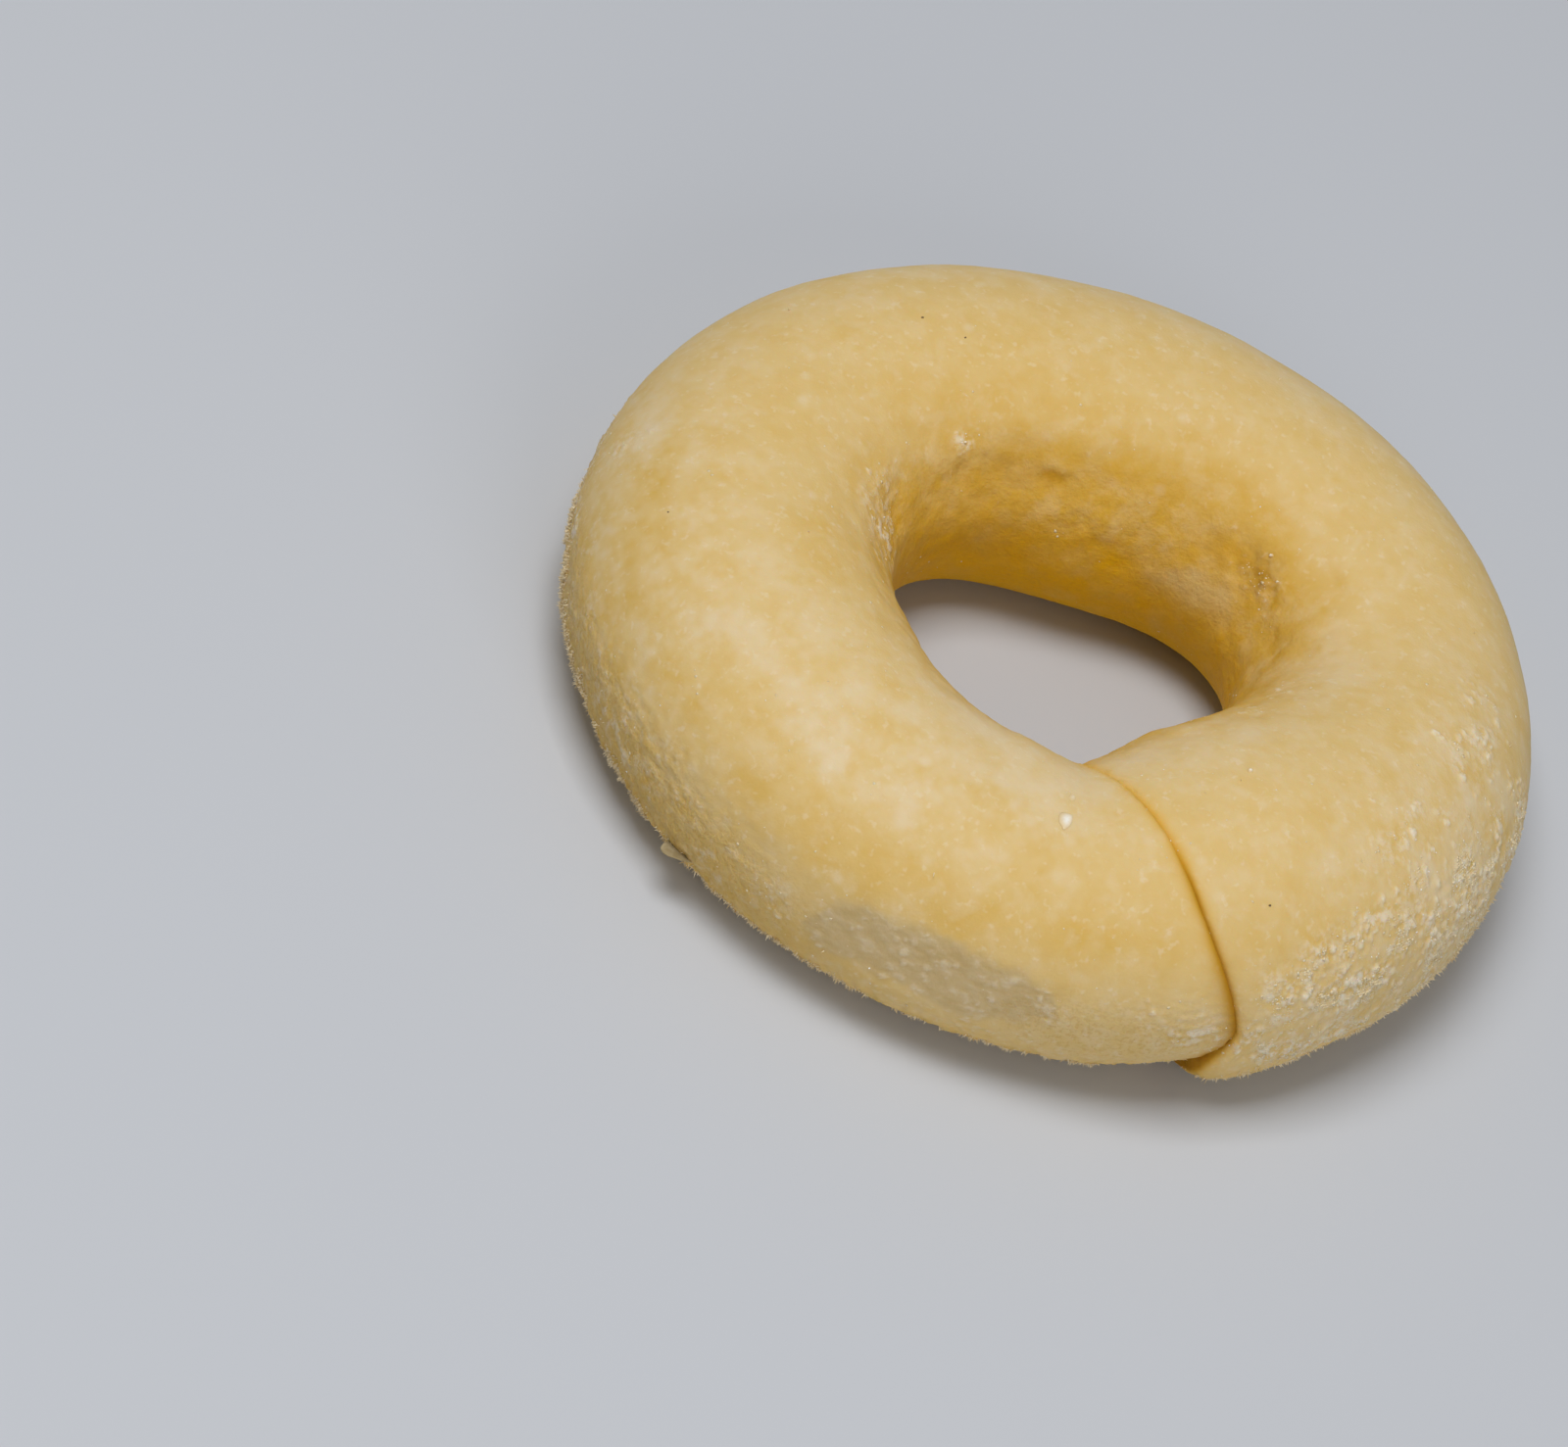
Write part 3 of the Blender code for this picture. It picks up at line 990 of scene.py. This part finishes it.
class NodeDesk:
    """A small helper that adds and joins the nodes of one material."""

    def __init__(self, name: str) -> None:
        """Start a material.

        Args:
            name: The material's name.
        """
        self.material = bpy.data.materials.new(name)
        self.material.use_nodes = True
        self.tree = self.material.node_tree
        self.shader = self.tree.nodes["Principled BSDF"]
        self.coordinates = self.add("TexCoord", {}, "Object")

    def add(self, kind: str, inputs: dict, output: str | int, **settings: object) -> Socket:
        """Add a node.

        Args:
            kind: Its type, without the leading ShaderNode.
            inputs: A value or a socket for each input, by name or number.
            output: Which output is wanted.
            **settings: Properties of the node.

        Returns:
            The output socket.
        """
        node = self.tree.nodes.new("ShaderNode" + kind)
        for name, value in settings.items():
            setattr(node, name, value)
        self.feed(node, inputs)
        return node.outputs[output]

    def feed(self, node: bpy.types.Node, inputs: dict) -> None:
        """Link each input of a node, or set it where its value isn't a socket.

        Args:
            node: The node.
            inputs: A value or a socket for each input, by name or number.
        """
        for name, value in inputs.items():
            if isinstance(value, Socket):
                self.tree.links.new(value, node.inputs[name])
            else:
                node.inputs[name].default_value = value

    def noise(self, size: float, detail: float = 2.0, roughness: float = 0.5,
              distortion: float = 0.0) -> Socket:
        """Noise whose humps are about `size` wide."""
        return self.add("TexNoise", {
            "Vector": self.coordinates, "Scale": 1.0 / size, "Detail": detail,
            "Roughness": roughness, "Distortion": distortion}, "Fac")

    def cells(self, size: float, output: str = "Distance") -> Socket:
        """Distance to the middle of the nearest of many uneven cells `size` wide, or its colour."""
        return self.add("TexVoronoi", {
            "Vector": self.coordinates, "Scale": 1.0 / size, "Randomness": 1.0}, output)

    def spots(self, size: float, radius: float) -> Socket:
        """Scatter round soft spots of uneven strength.

        Args:
            size: Width of the cells, with one spot in each.
            radius: Radius of the spots.

        Returns:
            A share from 0 to 1.
        """
        uneven = self.add("SeparateColor", {"Color": self.cells(size, "Color")}, "Red")
        spot = self.stretch(self.cells(size), radius / size, 0.3 * radius / size)
        return self.maths("MULTIPLY", spot, self.stretch(uneven, 0.3, 1.0))

    def stored(self, name: str, times: float = 1.0) -> Socket:
        """A share stored on the mesh, and so many times of it where `times` isn't 1."""
        value = self.add("Attribute", {}, "Fac", attribute_name=name)
        return value if times == 1.0 else self.maths("MULTIPLY", value, times)

    def stretch(self, value: Socket, low: float, high: float,
                to_low: float = 0.0, to_high: float = 1.0) -> Socket:
        """Map a range onto another and keep within it."""
        return self.add("MapRange", {
            "Value": value, "From Min": low, "From Max": high, "To Min": to_low,
            "To Max": to_high}, "Result", clamp=True)

    def maths(self, operation: str, first: Socket, second: Socket | float) -> Socket:
        """Work out one number from two; a product is kept within 0 and 1."""
        clamped = operation == "MULTIPLY"
        return self.add("Math", {0: first, 1: second}, "Value", operation=operation, use_clamp=clamped)

    def mix(self, share: Socket, first: Socket | Colour, second: Socket | Colour) -> Socket:
        """Blend two colours."""
        return self.add("Mix", {0: share, 6: first, 7: second}, 2, data_type="RGBA")

    def surface(self, values: dict) -> bpy.types.Material:
        """Feed the shader's sockets and hand over the material."""
        self.feed(self.shader, values)
        return self.material

    def bump(self, height: Socket, depth: float, strength: float) -> Socket:
        """Normals of a surface roughened by a height that is `depth` high."""
        return self.add("Bump", {"Strength": strength, "Distance": depth, "Height": height}, "Normal")


@dataclass(frozen=True)
class DoughFinish:
    """Raw yellow dough under a thin pale film, mottled, with frost and painted light and shade in places."""

    film: Colour = (0.79, 0.565, 0.235, 1.0)
    # The thin film's colour, also made a little darker as painted shade.
    thin: Colour = (0.745, 0.480, 0.125, 1.0)
    thick: Colour = (0.83, 0.660, 0.400, 1.0)
    bare: Colour = (0.67, 0.375, 0.018, 1.0)
    bare_pale: Colour = (0.72, 0.455, 0.115, 1.0)
    # Painted shade on the skin where the wall isn't bare.
    painted_shade: Colour = (0.57, 0.385, 0.125, 1.0)
    frost: Colour = (0.92, 0.820, 0.650, 1.0)
    # The pressed patch's own grey, also made darker as painted shade low at the front.
    pressed: Colour = (0.66, 0.495, 0.260, 1.0)
    pressed_groove_shade: Colour = (0.60, 0.430, 0.195, 1.0)
    # Painted glow and warm shade: the deep yellow along the seam and in the hole.
    deep: Colour = (0.80, 0.425, 0.001, 1.0)
    # Painted shade, for hollows of the bare wall and for fine pits.
    shade: Colour = (0.57, 0.300, 0.024, 1.0)
    stain: Colour = (0.70, 0.430, 0.080, 1.0)
    # Painted shade in the seam.
    seam_shade: Colour = (0.45, 0.205, 0.010, 1.0)

    def make(self) -> bpy.types.Material:
        """Build the material.

        Returns:
            The finished material.
        """
        desk = NodeDesk("raw_dough")
        cloud = desk.noise(0.0024, 3.0, 0.55, 0.3)
        speck = desk.noise(0.0009)
        fine = desk.noise(0.0003)
        flour = desk.noise(0.0011, 4.0, 0.58)
        grit = desk.stretch(desk.noise(0.0005, 3.0, 0.62), 0.35, 0.65)
        flakes = desk.stretch(desk.cells(0.00042), 0.15, 0.7, 1.0, 0.65)
        frosted, grit_and_pit_shade, streaked = desk.stored("frosted"), desk.stored("grit_and_pit_shade"), desk.stored("streaks")
        wall = desk.mix(desk.stretch(cloud, 0.40, 0.65), self.bare, self.bare_pale)
        wall = desk.mix(desk.stored("thick_film_and_light", 0.5), wall, self.film)
        # Painted shade: the patch is darker in the grooves between its streaks.
        streaks = desk.mix(desk.stretch(streaked, 0.25, 0.6), self.pressed_groove_shade, self.pressed)
        streaks = desk.mix(desk.stretch(streaked, 0.62, 0.85, 0.0, 0.4), streaks, self.frost)
        crumbs = desk.maths("MULTIPLY", desk.stored("lace"), flakes)
        sugar = desk.maths("MULTIPLY", frosted, desk.stretch(flour, 0.47, 0.61, 0.0, 0.85))
        inner = desk.maths("MAXIMUM", desk.stored("bare"), desk.stored("deep", 2.5))
        layers = (
            (desk.stored("thin_film_and_shade"), self.thin),
            (desk.stored("thick_film_and_light"), self.thick),
            (desk.stretch(cloud, 0.50, 0.70, 0.0, 0.32), self.thick),
            (desk.stretch(speck, 0.60, 0.72, 0.0, 0.22), self.frost),
            (desk.stored("bare"), wall),
            (desk.maths("MULTIPLY", desk.spots(0.0042, 0.0009), 0.24), self.frost),
            (desk.maths("MULTIPLY", desk.spots(0.0019, 0.00035), 0.12), self.frost),
            (desk.stored("stained"), self.stain),
            (desk.stored("pressed", 0.85), streaks),
            (desk.stored("frosted", 0.40), self.thin),
            (desk.maths("MAXIMUM", crumbs, sugar), self.frost),
            # Painted glow along the seam and painted warm shade in the hole.
            (desk.stored("deep", 0.96), self.deep),
            # Painted shade in hollows and low on the outer side; on the bare wall it takes the shade colour.
            (desk.stored("painted_shade"), desk.mix(inner, self.painted_shade, self.shade)),
            # Painted shade in the seam.
            (desk.stored("seam_shade"), self.seam_shade),
            # Painted shade in fine pits.
            (desk.maths("MULTIPLY", grit_and_pit_shade, desk.stretch(grit, 0.50, 0.05, 0.0, 0.35)), self.shade),
        )
        body = self.film
        for share, colour in layers:
            body = desk.mix(share, body, colour)
        rough = desk.maths("MULTIPLY", frosted, desk.stretch(flour, 0.40, 0.65))
        rough = desk.maths("ADD", rough, desk.maths("MULTIPLY", grit_and_pit_shade, grit))
        rough = desk.maths("ADD", rough, desk.maths("MULTIPLY", fine, 0.35))
        return desk.surface({
            "Base Color": body, "Roughness": desk.stretch(cloud, 0.3, 0.7, 0.50, 0.66),
            "Specular IOR Level": 0.08, "Subsurface Weight": 0.18,
            "Subsurface Radius": (1.0, 0.45, 0.12), "Subsurface Scale": 0.0012,
            "Normal": desk.bump(rough, 0.00015, 0.6)})


@dataclass(frozen=True)
class MottledFinish:
    """Two colours in soft mottles.

    `blend` is where the mottles turn from the first colour to the second, and how far. `settings`
    are sockets of the shader, and `bump` is the size, depth and strength of a fine roughness. A
    hearted piece has its second colour in the middle only; on the ice drops that white middle is
    partly a painted highlight.
    """

    name: str
    first: Colour
    second: Colour
    size: float
    detail: float
    blend: tuple[float, ...]
    roughness: tuple[float, float]
    settings: tuple[tuple[str, float], ...] = ()
    bump: tuple[float, float, float] | None = None
    hearted: bool = False

    def make(self) -> bpy.types.Material:
        """Build the material.

        Returns:
            The finished material.
        """
        desk = NodeDesk(self.name)
        mottles = desk.noise(self.size, self.detail)
        share = desk.stretch(mottles, *self.blend)
        if self.hearted:
            share = desk.maths("MULTIPLY", desk.stored("white_and_highlight"), share)
        values = dict(self.settings)
        if self.bump:
            size, depth, strength = self.bump
            values["Normal"] = desk.bump(desk.noise(size), depth, strength)
        values["Base Color"] = desk.mix(share, self.first, self.second)
        values["Roughness"] = desk.stretch(mottles, 0.3, 0.7, *self.roughness)
        return desk.surface(values)


FROST_FINISH = MottledFinish(
    "frost", (0.83, 0.670, 0.390, 1.0), (0.88, 0.770, 0.540, 1.0), 0.0009, 2.0,
    (0.4, 0.65), (0.25, 0.5), bump=(0.0002, 0.00003, 0.4))
TORN_FINISH = MottledFinish(
    "torn_skin", (0.33, 0.255, 0.130, 1.0), (0.42, 0.345, 0.205, 1.0), 0.0007, 3.0,
    (0.45, 0.7), (0.50, 0.65), (("Specular IOR Level", 0.22),), (0.0003, 0.00008, 0.5))
ICE_FINISH = MottledFinish(
    "ice", (0.837, 0.819, 0.774, 1.0), (0.93, 0.91, 0.86, 1.0), 0.0006, 1.0,
    (0.0, 1.0), (0.05, 0.16), (("IOR", 1.31),))
# Ice drops whose white hearts are partly painted highlights.
DROP_FINISH = MottledFinish(
    "ice_and_painted_highlight", (0.80, 0.590, 0.280, 1.0), (1.00, 0.950, 0.840, 1.0), 0.0004, 1.0,
    (0.2, 0.6, 0.85, 1.0), (0.24, 0.36), (("Specular IOR Level", 0.4),), hearted=True)
BRAN_FINISH = MottledFinish(
    "bran", (0.10, 0.055, 0.02, 1.0), (0.18, 0.10, 0.04, 1.0), 0.0002, 1.0, (0.0, 1.0), (0.5, 0.7))
FLOOR_FINISH = MottledFinish(
    "pale_floor", (0.63, 0.65, 0.69, 1.0), (0.6048, 0.624, 0.6624, 1.0), 0.4, 2.0,
    (0.0, 1.0), (0.5, 0.6))


class Kind(Enum):
    """What a scattered bit is."""

    GRAIN = "frost_grains"
    NEEDLE = "frost_needles"
    CRYSTAL = "ice_crystals"


@dataclass
class Scatter:
    """Many small crystals of one kind, joined into one piece."""

    kind: Kind
    count: int
    small: float
    large: float
    tall: float
    proud: float
    lean: float
    zones: tuple[Mark, ...]
    everywhere: float
    seed: int
    cling: float = 1.0

    def density(self, skin: DoughSkin) -> Array:
        """Find how likely a crystal is at each point of the skin.

        Args:
            skin: The skin.

        Returns:
            One weight for each point.
        """
        points = skin.points.reshape(-1, 3)
        clump = Texture(1.0, 0.0020, 2, self.seed).read(points)
        area = np.linalg.norm(np.cross(
            np.roll(skin.points, -1, 0) - skin.points,
            np.roll(skin.points, -1, 1) - skin.points), axis=-1).ravel()
        zone = skin.share(self.zones).ravel() * skin.clumped.ravel() ** self.cling
        density = (zone ** 1.5 * ramp(clump, -0.3, 0.5) + self.everywhere * ramp(clump, 0.0, 0.7)) * area
        return density * ramp(points[:, 2], 0.0015, 0.0040)

    def crystals(self, skin: DoughSkin) -> Array:
        """Points of all crystals, six to each.

        Args:
            skin: The skin that they lie on.

        Returns:
            An array of crystals by six corners by x, y and z.
        """
        random = np.random.default_rng(self.seed)
        density = self.density(skin)
        chosen = random.choice(len(density), self.count, p=density / density.sum())
        width = self.small + (self.large - self.small) * random.random(self.count) ** 2.5
        width = width[:, None]
        out = skin.normals.reshape(-1, 3)[chosen]
        side = np.cross(out, random.normal(size=(self.count, 3)))
        side /= np.linalg.norm(side, axis=1, keepdims=True)
        other = np.cross(out, side)
        lean = self.lean * random.normal(size=(self.count, 2))
        up = out + lean[:, :1] * side + lean[:, 1:] * other
        up /= np.linalg.norm(up, axis=1, keepdims=True)
        centre = skin.points.reshape(-1, 3)[chosen] + out * width * self.proud
        squeeze = 0.6 + 0.8 * random.random((self.count, 5))
        arms = (side, other, -side, -other, up * self.tall)
        corners = [centre + arm * width * squeeze[:, [number]] for number, arm in enumerate(arms)]
        return np.stack(corners + [centre - out * width * 0.8], axis=1)

    def build(self, skin: DoughSkin) -> Piece:
        """Make the joined piece.

        Args:
            skin: The skin that the crystals lie on.

        Returns:
            The finished piece.
        """
        corners = self.crystals(skin)
        triangles = np.array([(0, 1, 4), (1, 2, 4), (2, 3, 4), (3, 0, 4),
                              (1, 0, 5), (2, 1, 5), (3, 2, 5), (0, 3, 5)])
        faces = (np.arange(self.count)[:, None, None] * 6 + triangles[None]).reshape(-1, 3)
        piece = mesh_object(self.kind.value, corners, faces)
        if self.kind is Kind.GRAIN:
            piece.data.shade_smooth()
        return piece


@dataclass(frozen=True)
class Bead:
    """A small rounded lump on the skin, such as a drop of ice or a dark fleck."""

    around: float
    across: float
    width: float
    length: float
    height: float
    turn: float = 0.0
    taper: float = 0.0
    # How strong a drop's white heart is; it is partly a painted highlight.
    white: float = 1.0


# Drops of ice where glints fall; their white hearts are partly painted highlights.
BEADS = (
    Bead(279.7, 81.0, 0.0014, 0.0022, 0.00014, 90.0, 0.45, 1.1),
    Bead(280.3, 92.6, 0.0007, 0.0010, 0.00005, 90.0, 0.0, 0.40),
    Bead(314.8, 99.0, 0.0005, 0.0006, 0.0003),
    Bead(44.5, 135.0, 0.0004, 0.0005, 0.0003, 60.0),
    Bead(141.0, 136.5, 0.0003, 0.0004, 0.0002),
)
FLECKS = (
    Bead(137.5, 86.0, 0.00024, 0.00034, 0.00008),
    Bead(132.2, 97.5, 0.00018, 0.00026, 0.00006, 30.0),
    Bead(309.0, 51.0, 0.00022, 0.00030, 0.00008),
    Bead(198.2, 53.5, 0.00016, 0.00026, 0.00006, 50.0),
)


@dataclass(frozen=True)
class Beads:
    """Several lumps of one kind, joined into one piece."""

    name: str
    beads: tuple[Bead, ...]
    sides: int = 24
    rings: int = 12

    def build(self, skin: DoughSkin) -> Piece:
        """Make the lumps where they lie.

        Args:
            skin: The skin that they lie on.

        Returns:
            The finished piece.
        """
        shape = bmesh.new()
        white_and_highlight = shape.verts.layers.float.new("white_and_highlight")
        for number, bead in enumerate(self.beads):
            place, out, side = skin.spot(bead.around, bead.across)
            other = out.cross(side)
            made = bmesh.ops.create_uvsphere(shape, u_segments=self.sides, v_segments=self.rings, radius=1.0)
            turn = math.radians(bead.turn)
            first = (side * math.cos(turn) + other * math.sin(turn)) * bead.length * 0.5
            second = (other * math.cos(turn) - side * math.sin(turn)) * bead.width * 0.5
            for vertex in made["verts"]:
                x, y, z = vertex.co
                # The white heart, partly a painted highlight, sits a little off the middle.
                vertex[white_and_highlight] = bead.white * math.exp(-((x - 0.1) ** 2 + (y + 0.2) ** 2) / 0.45)
                wobble = 1.0 + 0.07 * math.sin(5.0 * x + 3.0 * y + number)
                narrow = y * wobble * (1.0 + bead.taper * x)
                vertex.co = place + first * (x * wobble) + second * narrow + out * (z * bead.height)
        return smooth_object(self.name, shape)


@dataclass(frozen=True)
class Flap:
    """A torn tongue of skin that stands off the outer side.

    Its outline is a row of (along, out) distances: how far along the ring, and how far off it.
    """

    around: float = 232.6
    across: float = -24.0
    outline: tuple[tuple[float, float], ...] = (
        (-0.00020, 0.0), (-0.00035, 0.0012), (-0.00015, 0.0019), (0.00040, 0.0022),
        (0.0013, 0.0021), (0.0024, 0.0017), (0.0034, 0.0010), (0.0042, 0.0))
    middle: float = 0.0016
    root: float = 0.0007
    thickness: float = 0.0005
    ragged: float = 0.00012
    curl: float = 0.0004
    steps: int = 22
    sides: int = 16

    def build(self, skin: DoughSkin) -> Piece:
        """Make the tongue, rooted in the skin.

        Args:
            skin: The skin that it hangs from.

        Returns:
            The finished piece.
        """
        place, out, side = skin.spot(self.around, self.across)
        flat = Vector((out.x, out.y, 0.0)).normalized()
        corners = np.array(self.outline)
        lengths = np.concatenate([[0.0], np.cumsum(np.hypot(*np.diff(corners, axis=0).T))])
        shape = bmesh.new()
        rings = []
        for step in range(self.steps + 1):
            at = lengths[-1] * step / self.steps
            along, far = (float(np.interp(at, lengths, corners[:, axis])) for axis in (0, 1))
            far += self.ragged * float(lattice_noise(np.array([7.0 * step / self.steps, 0.5, 0.5]), 3))
            foot = self.middle + 0.5 * (along - self.middle)
            ring = []
            for corner in range(self.sides):
                angle = 2.0 * math.pi * corner / self.sides
                reach = 0.5 + 0.5 * math.cos(angle)
                slide = foot + (along - foot) * reach
                off = -self.root + (far + self.root) * reach
                thick = 0.5 * self.thickness * math.sin(angle) * (1.2 - 0.7 * reach)
                lift = Vector((0.0, 0.0, self.curl * reach ** 2 + thick))
                ring.append(shape.verts.new(place + side * slide + flat * off + lift))
            rings.append(ring)
        for first, second in zip(rings, rings[1:]):
            for corner in range(self.sides):
                after = (corner + 1) % self.sides
                shape.faces.new((first[corner], first[after], second[after], second[corner]))
        shape.faces.new(rings[0][::-1])
        shape.faces.new(rings[-1])
        bmesh.ops.recalc_face_normals(shape, faces=shape.faces[:])
        return smooth_object("torn_flap", shape)


@dataclass(frozen=True)
class Viewpoint:
    """The camera of the photograph, placed from where the ring lies in it."""

    elevation: float = 45.0
    roll: float = 22.0
    ring_middle_px: tuple[float, float] = (1044.06, 749.24)
    focal_px: float = 8550.0
    metres_per_px: float = 0.000104
    sensor_mm: float = 36.0
    reach: tuple[float, float] = (0.01, 50.0)

    def place(self, ring_middle: Array) -> Piece:
        """Add the camera and look through it.

        Args:
            ring_middle: The middle of the ring, on the table.

        Returns:
            The camera.
        """
        rise, turn = math.radians(self.elevation), math.radians(self.roll)
        ahead = Vector((0.0, math.cos(rise), -math.sin(rise)))
        level = Vector((1.0, 0.0, 0.0))
        upright = level.cross(ahead)
        right = level * math.cos(turn) + upright * math.sin(turn)
        up = upright * math.cos(turn) - level * math.sin(turn)
        across_px = self.ring_middle_px[0] - PHOTO_WIDTH / 2
        up_px = PHOTO_HEIGHT / 2 - self.ring_middle_px[1]
        offset = right * across_px + up * up_px + ahead * self.focal_px
        data = bpy.data.cameras.new("photo_view")
        data.sensor_width = self.sensor_mm
        data.lens = self.sensor_mm * self.focal_px / PHOTO_WIDTH
        data.clip_start, data.clip_end = self.reach
        camera = add_object("photo_view", data)
        turned = Matrix((right, up, -ahead)).transposed().to_4x4()
        camera.matrix_world = Matrix.Translation(Vector(ring_middle) - offset * self.metres_per_px) @ turned
        bpy.context.scene.camera = camera
        return camera


@dataclass(frozen=True)
class Lamp:
    """A square soft light that faces the ring; its power is in watts."""

    name: str
    place: tuple[float, float, float]
    power: float
    size: float = 0.5

    def hang(self) -> Piece:
        """Put the light up.

        Returns:
            The light.
        """
        data = bpy.data.lights.new(self.name, "AREA")
        data.size = self.size
        data.energy = self.power
        light = add_object(self.name, data)
        light.location = self.place
        light.rotation_euler = (-Vector(self.place)).to_track_quat("-Z", "Y").to_euler()
        return light


@dataclass(frozen=True)
class Studio:
    """A plain pale floor, soft light and an even sky."""

    floor_width: float = 8.0
    floor_drop: float = 0.00002
    lamps: tuple[Lamp, ...] = (
        Lamp("overhead", (-0.170, -0.119, 0.978), 5.85), Lamp("front_fill", (0.446, -0.772, 0.454), 2.0))
    sky_colour: Colour = (0.93, 0.96, 1.0, 1.0)
    sky_strength: float = 0.215

    def build(self) -> None:
        """Put up the floor, the lights and the sky."""
        corners = np.array([(-1, -1, 0), (1, -1, 0), (1, 1, 0), (-1, 1, 0)])
        floor = mesh_object("floor", corners * self.floor_width / 2, np.arange(4)[None, :])
        floor.location.z = -self.floor_drop
        floor.data.materials.append(FLOOR_FINISH.make())
        for lamp in self.lamps:
            lamp.hang()
        world = bpy.data.worlds.new("studio")
        world.use_nodes = True
        back = world.node_tree.nodes["Background"]
        back.inputs["Color"].default_value = self.sky_colour
        back.inputs["Strength"].default_value = self.sky_strength
        bpy.context.scene.world = world
        bpy.context.scene.view_settings.view_transform = "Standard"


def dress(piece: Piece, material: bpy.types.Material) -> Piece:
    """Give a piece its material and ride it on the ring's body.

    Args:
        piece: A finished piece.
        material: Its material.

    Returns:
        The same piece.
    """
    piece.data.materials.append(material)
    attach(piece, BODY)
    LOG.info("%s: %d faces", piece.name, len(piece.data.polygons))
    return piece


def main() -> None:
    """Build the ring's looks, the studio and the camera."""
    logging.basicConfig(level=logging.INFO, format="%(message)s")
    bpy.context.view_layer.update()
    skin = DoughSkin()
    piece = dress(skin.build(), DoughFinish().make())
    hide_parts(NODE)
    frost = FROST_FINISH.make()
    grains = Scatter(Kind.GRAIN, 5000, 0.00008, 0.00024, 0.30, -0.05, 0.3, FROST, 0.004, 5)
    needles = Scatter(Kind.NEEDLE, 7000, 0.00005, 0.00012, 4.4, 0.1, 0.6, NEEDLES, 0.0002, 6, 0.0)
    crystals = Scatter(Kind.CRYSTAL, 280, 0.00005, 0.00012, 1.2, 0.1, 0.5, FROST + NEEDLES, 0.005, 7)
    bits = (
        (grains, frost), (needles, frost), (crystals, ICE_FINISH.make()),
        (Beads("ice_beads", BEADS), DROP_FINISH.make()),
        (Beads("bran_flecks", FLECKS), BRAN_FINISH.make()), (Flap(), TORN_FINISH.make()))
    for bit, material in bits:
        dress(bit.build(skin), material)
    Studio().build()
    Viewpoint().place(skin.ring_middle)


if __name__ == "__main__":
    main()
